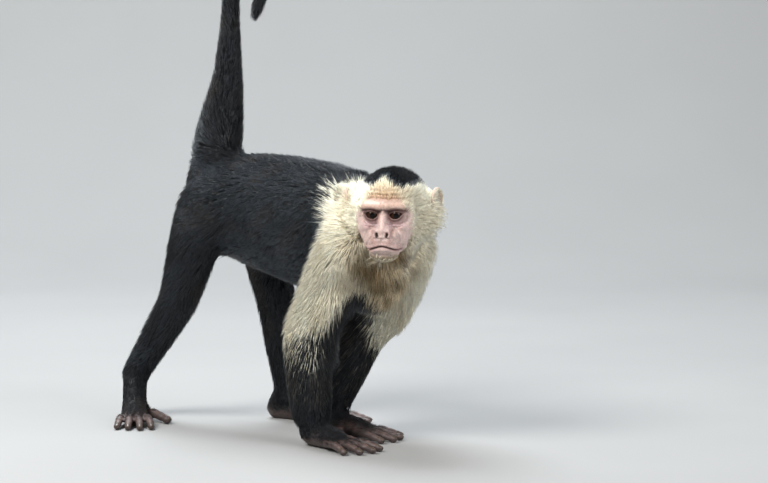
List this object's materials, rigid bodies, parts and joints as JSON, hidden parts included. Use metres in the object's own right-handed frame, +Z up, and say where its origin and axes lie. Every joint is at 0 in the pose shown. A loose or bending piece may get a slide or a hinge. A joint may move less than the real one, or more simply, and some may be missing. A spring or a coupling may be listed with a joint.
{
  "type": "capuchin monkey model",
  "caption": "Life-size still model of a white-faced capuchin monkey on all fours, head turned over its right shoulder, tail raised with a crook at its end.",
  "frame": {"origin": "middle of the bounding box in plan, on the floor that the hands and feet rest on", "axes": "+Z up, -Y the way the body faces, +X the animal's left; the head is turned towards -X"},
  "size_m": [0.2135, 0.3914, 0.5239],
  "materials": {
    "black_coat": "short black fur with a faint blue-grey sheen",
    "cream_coat": "long cream fur",
    "cap_coat": "short dense black fur",
    "face_skin": "bare pink skin with fine wrinkles",
    "dark_skin": "dark wrinkled skin of palms, soles and nails",
    "eye": "wet dark brown eye"
  },
  "bodies": {
    "root": {"belly": "black_coat", "cap": "cap_coat", "chest": "cream_coat", "ear_left": "face_skin", "ear_right": "face_skin", "eye_left": "eye", "eye_right": "eye", "foot_left": "dark_skin", "foot_right": "dark_skin", "forearm_left": "black_coat", "forearm_right": "black_coat", "hand_left": "dark_skin", "hand_right": "dark_skin", "head": "cream_coat", "muzzle": "face_skin", "neck": "cream_coat", "pelvis": "black_coat", "ribcage": "black_coat", "shank_left": "black_coat", "shank_right": "black_coat", "tail_base": "black_coat", "tail_crook": "black_coat", "tail_middle": "black_coat", "tail_tip": "black_coat", "tail_upper": "black_coat", "thigh_left": "black_coat", "thigh_right": "black_coat", "upper_arm_left": "cream_coat", "upper_arm_right": "cream_coat"}
  },
  "joints": []
}
